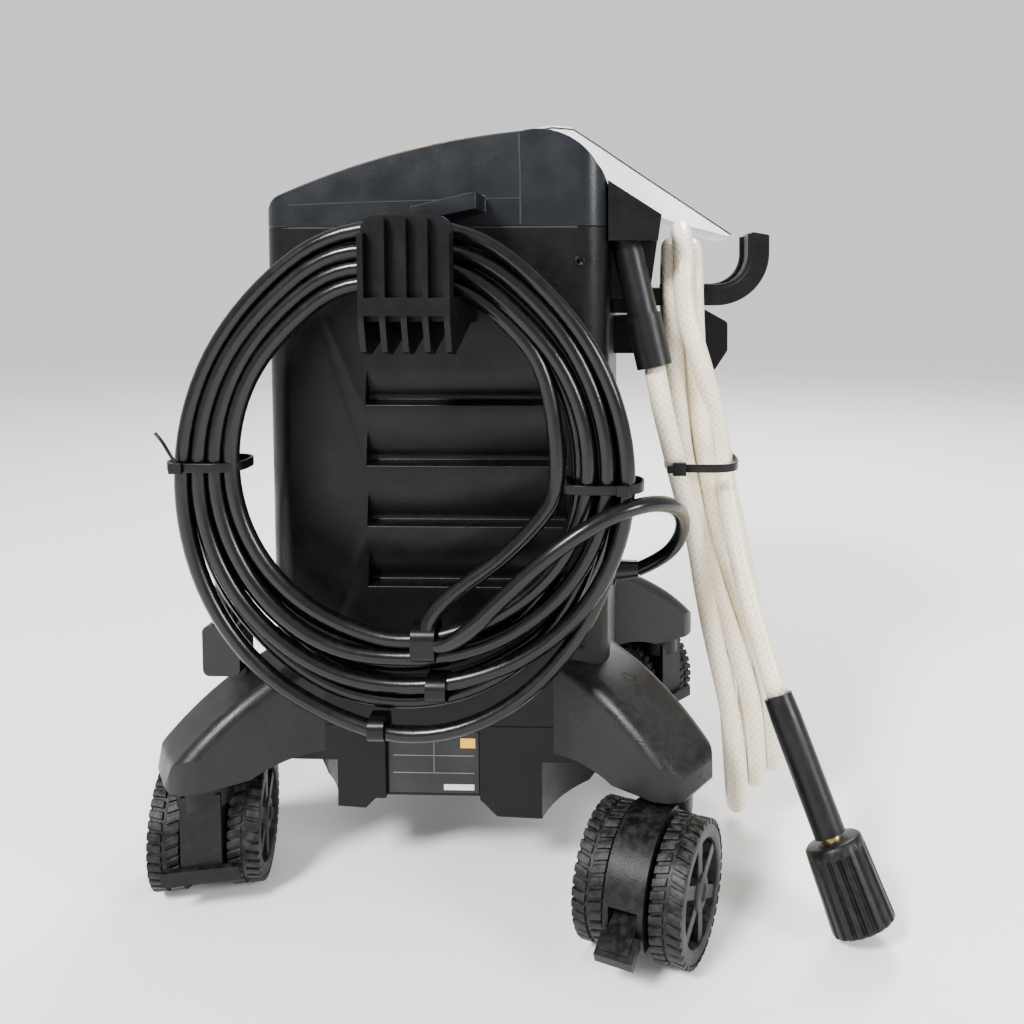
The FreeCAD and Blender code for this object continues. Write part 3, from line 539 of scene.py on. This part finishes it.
def swivel_nut():
    """The fluted hand nut at the hose's end, open at its foot."""
    axis = (at(*BOOT_LOW) - at(*BOOT_TOP)).normalized()
    start = at(*BOOT_LOW) + axis * 2.5 * MM
    side = axis.orthogonal().normalized()
    other = axis.cross(side)
    flutes, per_flute = 18, 8
    profile = [(0.0, 6.2, 0.0), (0.0, 14.6, 0.0), (1.4, 16.3, 0.0), (5.0, 16.6, 0.0), (7.0, 16.7, 1.7),
               (30.0, 17.4, 1.9), (42.6, 17.9, 1.9), (44.2, 17.7, 1.2), (45.0, 16.6, 0.3), (45.0, 11.4, 0.0),
               (44.2, 11.0, 0.0), (13.0, 11.0, 0.0), (12.0, 9.6, 0.0), (6.5, 9.6, 0.0), (6.3, 6.2, 0.0)]
    form = bmesh.new()
    rings = []
    count = flutes * per_flute
    for along, r, depth in profile:
        ring = []
        for i in range(count):
            a = 2.0 * math.pi * i / count
            groove = max(0.0, math.cos(flutes * a)) ** 0.7
            reach = (r - depth * groove) * MM
            place = start + axis * (along * MM) + (side * math.cos(a) + other * math.sin(a)) * reach
            ring.append(form.verts.new(place))
        rings.append(ring)
    for n, first in enumerate(rings):
        second = rings[(n + 1) % len(rings)]
        for i in range(count):
            j = (i + 1) % count
            form.faces.new((first[i], first[j], second[j], second[i]))
    nut = add("fluted_nut", to_mesh("fluted_nut", form), "nut_plastic", "swivel_nut",
              replaces=["hose_swivel_nut"])
    return soften(nut, 0.25, 2, 50.0)


def hose_tie():
    """One nylon tie round the hank, with its lock."""
    form = bmesh.new()
    strap(form, Vector((156.2, -48.4, 247.5)), 21.6, 23.0, 5.0, 1.3, "z", 3.4)
    block(form, at(138, -76.0, 243.6), at(146, -71.6, 251.4))
    block(form, at(134.5, -76.0, 245.2), at(138, -73.4, 249.4))
    tie = add("hose_tie", to_mesh("hose_tie", form), "tie_nylon", replaces=["cable_ties"])
    soften(tie, 0.4)


# ------------------------------------------------------------------ wheels

def wheel(joint):
    """A twin-caster wheel: chevron blocks round the tread, and a dished hub with spokes."""
    name = joint["child"]
    axis = Vector(joint["axis"]).normalized()
    centre = Vector(joint["pos_m"])
    along = [v.co.dot(axis) - centre.dot(axis) for v in NODES[name].data.vertices]
    low, high = min(along), max(along)
    outward = 1.0 if high + low > 0.0 else -1.0
    near = (low if outward > 0.0 else -high) / MM
    x_axis = axis * outward
    z_axis = Vector((0, 0, 1))
    y_axis = z_axis.cross(x_axis)
    axes = Matrix((x_axis, y_axis, z_axis)).transposed().to_4x4()
    turn = Matrix.Translation(centre) @ axes @ Matrix.Scale(MM, 4)
    far = near + WHEEL_WIDTH
    tread = WHEEL_RADIUS - TREAD_DEPTH
    form = bmesh.new()
    spin(form, [(near + 2.0, 0), (near + 2.0, 10), (near, 11), (near, 30), (near + 0.6, tread - 1.2),
                (near + 2.0, tread), (far - 2.2, tread), (far - 0.8, tread - 1.4), (far - 0.4, 29.0),
                (far - 1.2, 26.4), (far - 8.0, 25.2), (far - 8.6, 11.0), (far - 1.4, 9.4), (far - 0.6, 8.4),
                (far - 0.3, 5.0), (far - 1.4, 4.4), (far - 1.5, 0)], turn)
    for i in range(SPOKES):
        spoke = turn @ Matrix.Rotation(2.0 * math.pi * (i + 0.5) / SPOKES, 4, "X")
        block(form, (far - 8.2, 8.6, -3.4), (far - 2.0, 26.2, 3.4), spoke)
    mid = (near + far) / 2
    for row, (x0, x1) in enumerate(((near + 0.5, mid - 0.7), (mid + 0.7, far - 0.5))):
        lean = 0.028 if row else -0.028
        for i in range(TREAD_BLOCKS):
            start = 2.0 * math.pi * (i + 0.5 * row) / TREAD_BLOCKS
            wide = 2.0 * math.pi / TREAD_BLOCKS * TREAD_FILL
            corners = []
            for r, shrink in ((tread - 1.0, 0.0), (WHEEL_RADIUS, 0.14)):
                for x, a in ((x0, start - lean), (x0, start + wide - lean),
                             (x1, start + wide + lean), (x1, start + lean)):
                    a += wide * shrink * (0.5 if a < start + wide * 0.5 else -0.5)
                    x += shrink * 2.6 * (1.0 if x == x0 else -1.0)
                    corners.append(form.verts.new(turn @ Vector((x, r * math.cos(a), r * math.sin(a)))))
            form.faces.new(corners[4:])
            for k in range(4):
                n = (k + 1) % 4
                form.faces.new((corners[k], corners[n], corners[4 + n], corners[4 + k]))
    piece = add("tyre_" + name, to_mesh("tyre_" + name, form), "wheel_rubber", name, replaces=[name])
    soften(piece, 0.35, 1, 30.0)


# ------------------------------------------------------------------ small pieces on the body

REAR_FACE = -100.05
PLATE_FACE = -97.1


def strip_along(name, points, half_wide, half_thick, slot_name, look=None):
    """A flat moulding laid along points on a face that looks along Y."""
    form = bmesh.new()
    rings = []
    for i, (x, y, z) in enumerate(points):
        before, after = points[max(i - 1, 0)], points[min(i + 1, len(points) - 1)]
        run = Vector((after[0] - before[0], 0.0, after[2] - before[2])).normalized()
        side = Vector((-run.z, 0.0, run.x)) * half_wide
        out = Vector((0.0, half_thick, 0.0))
        centre = Vector((x, y, z))
        corners = (side + out, side - out, -side - out, -side + out)
        rings.append([form.verts.new((centre + corner - ORIGIN) * MM) for corner in corners])
    for first, second in zip(rings, rings[1:]):
        for k in range(4):
            form.faces.new((first[k], first[(k + 1) % 4], second[(k + 1) % 4], second[k]))
    form.faces.new(rings[0])
    form.faces.new(rings[-1])
    return add(name, to_mesh(name, form), slot_name, look=look)


def body_details():
    """The head's seams, and a blank rating plate with plain lines in the bay."""
    strip_along("head_seam", [(50.5, REAR_FACE, 393), (50.5, REAR_FACE, 420), (50.0, REAR_FACE, 444.5)],
                0.5, 0.25, "head_plastic", GROOVE_LOOK)
    strip_along("head_crease", [(-83, REAR_FACE, 404.5), (-60, REAR_FACE, 405.5), (0, REAR_FACE, 407),
                                (50, REAR_FACE, 408)], 0.35, 0.25, "head_plastic", GROOVE_LOOK)
    strip_along("body_seam", [(-83, REAR_FACE, 391.6), (0, REAR_FACE, 391.6), (83, REAR_FACE, 391.6)],
                0.6, 0.25, "head_plastic", GROOVE_LOOK)
    form = bmesh.new()
    block(form, at(-31, -96.9, 58), at(23, -95.8, 95))
    soften(add("rating_plate", to_mesh("rating_plate", form), "body_plastic", look=PLATE_LOOK), 0.3)
    form = bmesh.new()
    block(form, at(2, -97.2, 60), at(20, -96.6, 63.4))
    add("rating_plate_rules", to_mesh("rating_plate_rules", form), "body_plastic", look=PAPER_LOOK)
    form = bmesh.new()
    for z in (70.0, 80.5):
        block(form, at(-28, PLATE_FACE, z), at(20, -96.8, z + 0.4))
    block(form, at(-4, PLATE_FACE, 70), at(-3.6, -96.8, 92))
    add("rating_plate_lines", to_mesh("rating_plate_lines", form), "body_plastic", look=LINE_LOOK)
    form = bmesh.new()
    block(form, at(12, -97.4, 85.5), at(21, -96.7, 91.5))
    soften(add("amber_patch", to_mesh("amber_patch", form), "accent_plastic"), 0.3)


def hook_lips():
    """Raised lips along both edges of the hose hook's resting face."""
    bend, face, x_bend, x_tip, z_tip = 22.0, 356.0, 166.0, 188.0, 391.0
    line = [(131.5, face, 0.0)]
    for i in range(13):
        a = math.radians(90.0 * i / 12)
        line.append((x_bend + bend * math.sin(a), face + bend - bend * math.cos(a), a))
    line.append((x_tip, z_tip - 0.8, math.radians(90.0)))
    form = bmesh.new()
    for y0, y1 in ((-44.8, -40.6), (5.6, 9.8)):
        rings = []
        for x, z, a in line:
            inward = Vector((-math.sin(a), 0.0, math.cos(a)))
            ring = []
            for y, rise in ((y0, -1.0), (y0, 2.4), (y1, 2.4), (y1, -1.0)):
                place = Vector((x, y, z)) + inward * rise
                ring.append(form.verts.new((place - ORIGIN) * MM))
            rings.append(ring)
        for first, second in zip(rings, rings[1:]):
            for k in range(4):
                form.faces.new((first[k], first[(k + 1) % 4], second[(k + 1) % 4], second[k]))
        form.faces.new(rings[0])
        form.faces.new(rings[-1])
    soften(add("hook_lips", to_mesh("hook_lips", form), "hook_plastic"), 0.8)


def panel_trim():
    """The dark edge line along the pale panel's rear rim."""
    strip_along("panel_trim", [(-20, -5.2, 447.4), (10, -5.2, 454.4), (40, -5.2, 459.2), (60, -5.2, 462.4),
                               (74, -5.2, 461.2), (92, -5.2, 449.4), (108, -5.2, 438.4), (144, -5.2, 414.2),
                               (179, -5.2, 390.8)], 0.45, 0.3, "pale_panel", GROOVE_LOOK)


def corner_screws():
    """A screw head near each corner of the rear housing."""
    form = bmesh.new()
    turn = Matrix.Rotation(math.radians(-90.0), 4, "Z")
    for x, z in ((84.0, 150.0), (-84.0, 150.0), (84.0, 372.0), (-84.0, 372.0)):
        place = Matrix.Translation(at(x, -99.7, z)) @ turn @ Matrix.Scale(MM, 4)
        spin(form, [(0.0, 0.0), (0.0, 3.2), (0.7, 3.0), (0.8, 2.2), (0.3, 1.4), (0.3, 0.0)], place, 24)
    add("corner_screws", smooth(to_mesh("corner_screws", form)), "hook_plastic")


def accent_line():
    """The amber line on the head's rear edge."""
    strip_along("accent_line", [(-12, -97.5, 435.6), (8, -97.5, 438.8), (26, -97.5, 441.3),
                                (42, -97.5, 443.2)], 0.9, 2.0, "accent_plastic")


# ------------------------------------------------------------------ stage

def lamp(name, place, target, size, power):
    data = bpy.data.lights.new(name, "AREA")
    data.shape = "DISK"
    data.size = size
    data.energy = power
    piece = bpy.data.objects.new(name, data)
    piece.location = place
    piece.rotation_euler = (Vector(target) - Vector(place)).to_track_quat("-Z", "Y").to_euler()
    bpy.context.scene.collection.objects.link(piece)


def stage():
    """A pale floor, an even white surround and three soft lamps."""
    form = bmesh.new()
    block(form, (-4.0, -4.0, -0.02), (4.0, 4.0, 0.0))
    mesh = to_mesh("floor", form)
    floor = bpy.data.objects.new("floor", mesh)
    mesh.materials.append(floor_finish())
    bpy.context.scene.collection.objects.link(floor)
    world = bpy.data.worlds.new("studio")
    bpy.context.scene.world = world
    world.use_nodes = True
    background = world.node_tree.nodes["Background"]
    background.inputs["Color"].default_value = (1.0, 1.0, 1.0, 1.0)
    background.inputs["Strength"].default_value = 1.0
    lamp("key", (-0.8, -1.5, 1.6), (0.0, 0.0, 0.25), 0.5, 95.0)
    lamp("fill", (1.6, -1.0, 0.9), (0.0, 0.0, 0.2), 0.6, 34.0)
    lamp("rim", (0.4, 1.4, 1.7), (0.0, 0.0, 0.3), 0.8, 50.0)


# ------------------------------------------------------------------ the whole object

def dress_frame():
    """Finishes and softened edges on the CAD nodes that stay in view."""
    slots = {part["node"]: part["material_slot"] for part in frame["record"]["subparts"]}
    widths = {"gun_hook": 1.6, "cord_hook": 0.9, "top_cover": 0.8, "top_panel": 1.2, "lower_bracket": 2.0}
    for name, node in NODES.items():
        node.data.materials.clear()
        node.data.materials.append(LOOK[slots[name]])
        width = widths.get(name, 1.6 if name.startswith("leg_") else 0.7)
        soften(node, width, 3 if width > 1.0 else 2)


make_camera()
power_cord()
hose(swivel_nut())
coil_ties()
hose_tie()
dress_frame()
for joint in frame["joints"]:
    if joint["name"].startswith("roll_"):
        wheel(joint)
body_details()
accent_line()
hook_lips()
panel_trim()
corner_screws()
stage()
